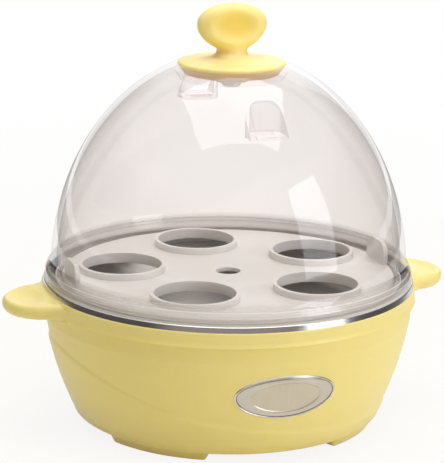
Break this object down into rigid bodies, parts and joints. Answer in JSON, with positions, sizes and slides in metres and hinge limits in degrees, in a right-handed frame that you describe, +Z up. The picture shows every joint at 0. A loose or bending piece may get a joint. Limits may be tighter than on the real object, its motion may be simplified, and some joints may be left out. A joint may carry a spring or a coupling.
{
  "type": "egg cooker",
  "caption": "Round electric egg cooker: moulded base with side handles and front button, steel steaming dish, lift-out tray with cup holes, and a clear dome lid with a knob.",
  "frame": {"origin": "on the table under the middle of the base", "axes": "+Z up, the button faces -Y, the handles point along X"},
  "size_m": [0.1862, 0.1518, 0.1683],
  "materials": {
    "yellow_plastic": "moulded, soft gloss",
    "clear_plastic": "clear, faintly smoked",
    "frosted_plastic": "frosted, translucent",
    "rim_steel": "polished rim, satin dish",
    "bezel_chrome": "bright plating",
    "button_silver": "satin silver coating",
    "silicone": "matt",
    "grey_rubber": "matt",
    "cast_aluminium": "as cast",
    "element_steel": "heat-dulled",
    "thermostat_steel": "pressed",
    "spring_steel": "bright",
    "shield_steel": "galvanised",
    "zinc_steel": "zinc plated",
    "fuse_can": "plain",
    "black_plastic": "fine texture",
    "white_plastic": "plain",
    "lamp_red": "clear red"
  },
  "bodies": {
    "base": {"base_shell": "yellow_plastic", "heating_plate": "rim_steel", "plate_seal": "silicone", "heat_spreader": "cast_aluminium", "heating_element": "element_steel", "thermostat": "thermostat_steel", "thermostat_clip": "spring_steel", "thermal_fuse": "fuse_can", "fuse_clip": "spring_steel", "clip_screws": "zinc_steel", "plate_studs": "zinc_steel", "stud_nuts": "zinc_steel", "heat_shield": "shield_steel", "button_bezel": "bezel_chrome", "power_switch": "black_plastic", "switch_holder": "white_plastic", "holder_screws": "zinc_steel", "indicator_lamp": "lamp_red", "bottom_cover": "black_plastic", "bottom_screws": "zinc_steel", "terminal_block": "white_plastic", "block_screw": "zinc_steel", "cord_gland": "grey_rubber"},
    "button": {"power_button": "button_silver", "switch_plunger": "black_plastic"},
    "tray": {"egg_tray": "frosted_plastic"},
    "lid": {"lid_dome": "clear_plastic", "lid_knob": "yellow_plastic", "knob_washer": "silicone", "knob_screw": "zinc_steel"}
  },
  "joints": [
    {"name": "tray_lift", "type": "slide", "parent": "base", "child": "tray", "axis": [0, 0, 1], "range_m": [0, 0.075]},
    {"name": "lid_lift", "type": "slide", "parent": "tray", "child": "lid", "axis": [0, 0, 1], "range_m": [0, 0.11]},
    {"name": "button_press", "type": "slide", "parent": "base", "child": "button", "axis": [0, 0.9657, 0.2598], "range_m": [0, 0.002], "stiffness_N_per_m": 800, "springref_m": -0.0015}
  ]
}
